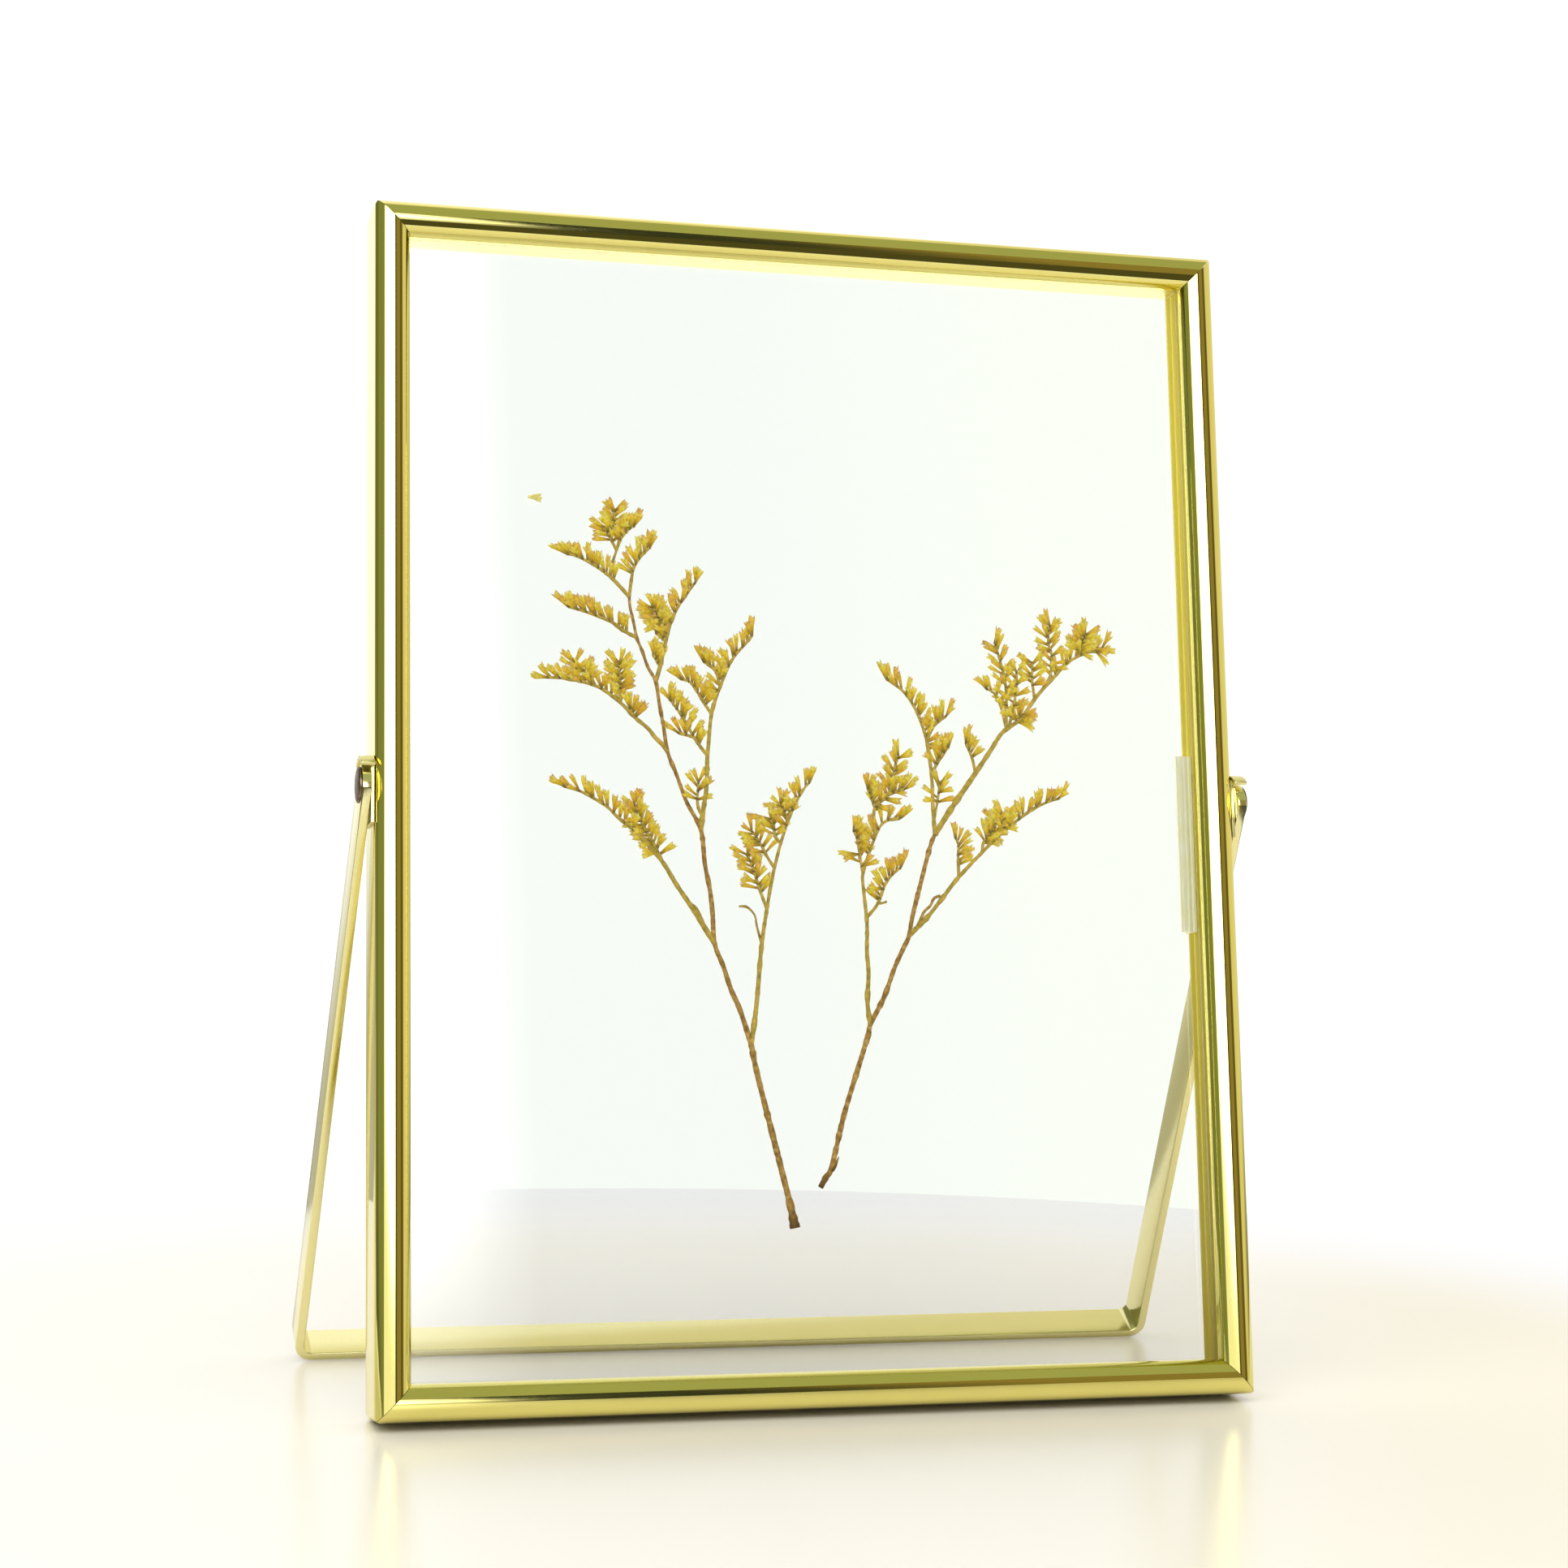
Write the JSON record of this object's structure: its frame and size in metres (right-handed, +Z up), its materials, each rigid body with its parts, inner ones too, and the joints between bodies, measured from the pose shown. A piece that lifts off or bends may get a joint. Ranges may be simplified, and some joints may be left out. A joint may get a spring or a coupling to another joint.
{
  "type": "pressed flower frame",
  "caption": "Slim brass-coloured table frame that holds pressed flower sprigs between two clear panes and leans back on a hinged strip stand.",
  "frame": {"origin": "on the ground under the middle of the bounding box of the frame standing open on its stand", "axes": "+Z up, +X to the right as seen from the front, +Y backwards, so the flowers face -Y and the frame leans back about 8.2 degrees"},
  "size_m": [0.1602, 0.0714, 0.1992],
  "materials": {
    "polished_brass": "polished",
    "pale_brass": "satin",
    "dark_steel": "satin",
    "clear_glass": "gloss",
    "frosted_plastic": "matte",
    "dried_stem": "matte",
    "dried_flower": "matte"
  },
  "bodies": {
    "frame": {"frame_left": "polished_brass", "frame_right": "polished_brass", "frame_top": "polished_brass", "frame_bottom": "polished_brass", "glass_front": "clear_glass", "glass_back": "clear_glass", "retaining_clip": "frosted_plastic", "hinge_bracket_left": "pale_brass", "hinge_bracket_right": "pale_brass", "hinge_rivet_left": "dark_steel", "hinge_rivet_right": "dark_steel", "sprig_left_stem_lower": "dried_stem", "sprig_left_stem_middle": "dried_stem", "sprig_left_stem_upper": "dried_stem", "sprig_right_stem_lower": "dried_stem", "sprig_right_stem_upper": "dried_stem", "sprig_left_branch_b": "dried_flower", "sprig_left_branch_c": "dried_flower", "sprig_left_branch_d": "dried_flower", "sprig_left_branch_e": "dried_flower", "sprig_left_branch_f": "dried_flower", "sprig_left_branch_g": "dried_flower", "sprig_left_branch_h": "dried_flower", "sprig_left_branch_i": "dried_flower", "sprig_right_branch_j": "dried_flower", "sprig_right_branch_k": "dried_flower", "sprig_right_branch_l": "dried_flower", "sprig_right_branch_n": "dried_flower", "sprig_right_branch_o": "dried_flower", "loose_floret": "dried_flower"},
    "stand": {"stand": "pale_brass"}
  },
  "joints": [
    {"name": "stand_hinge", "type": "hinge", "parent": "frame", "child": "stand", "pos_m": [0, -0.01779, 0.10172], "axis": [1, 0, 0], "range_deg": [-34.94, 0]}
  ]
}
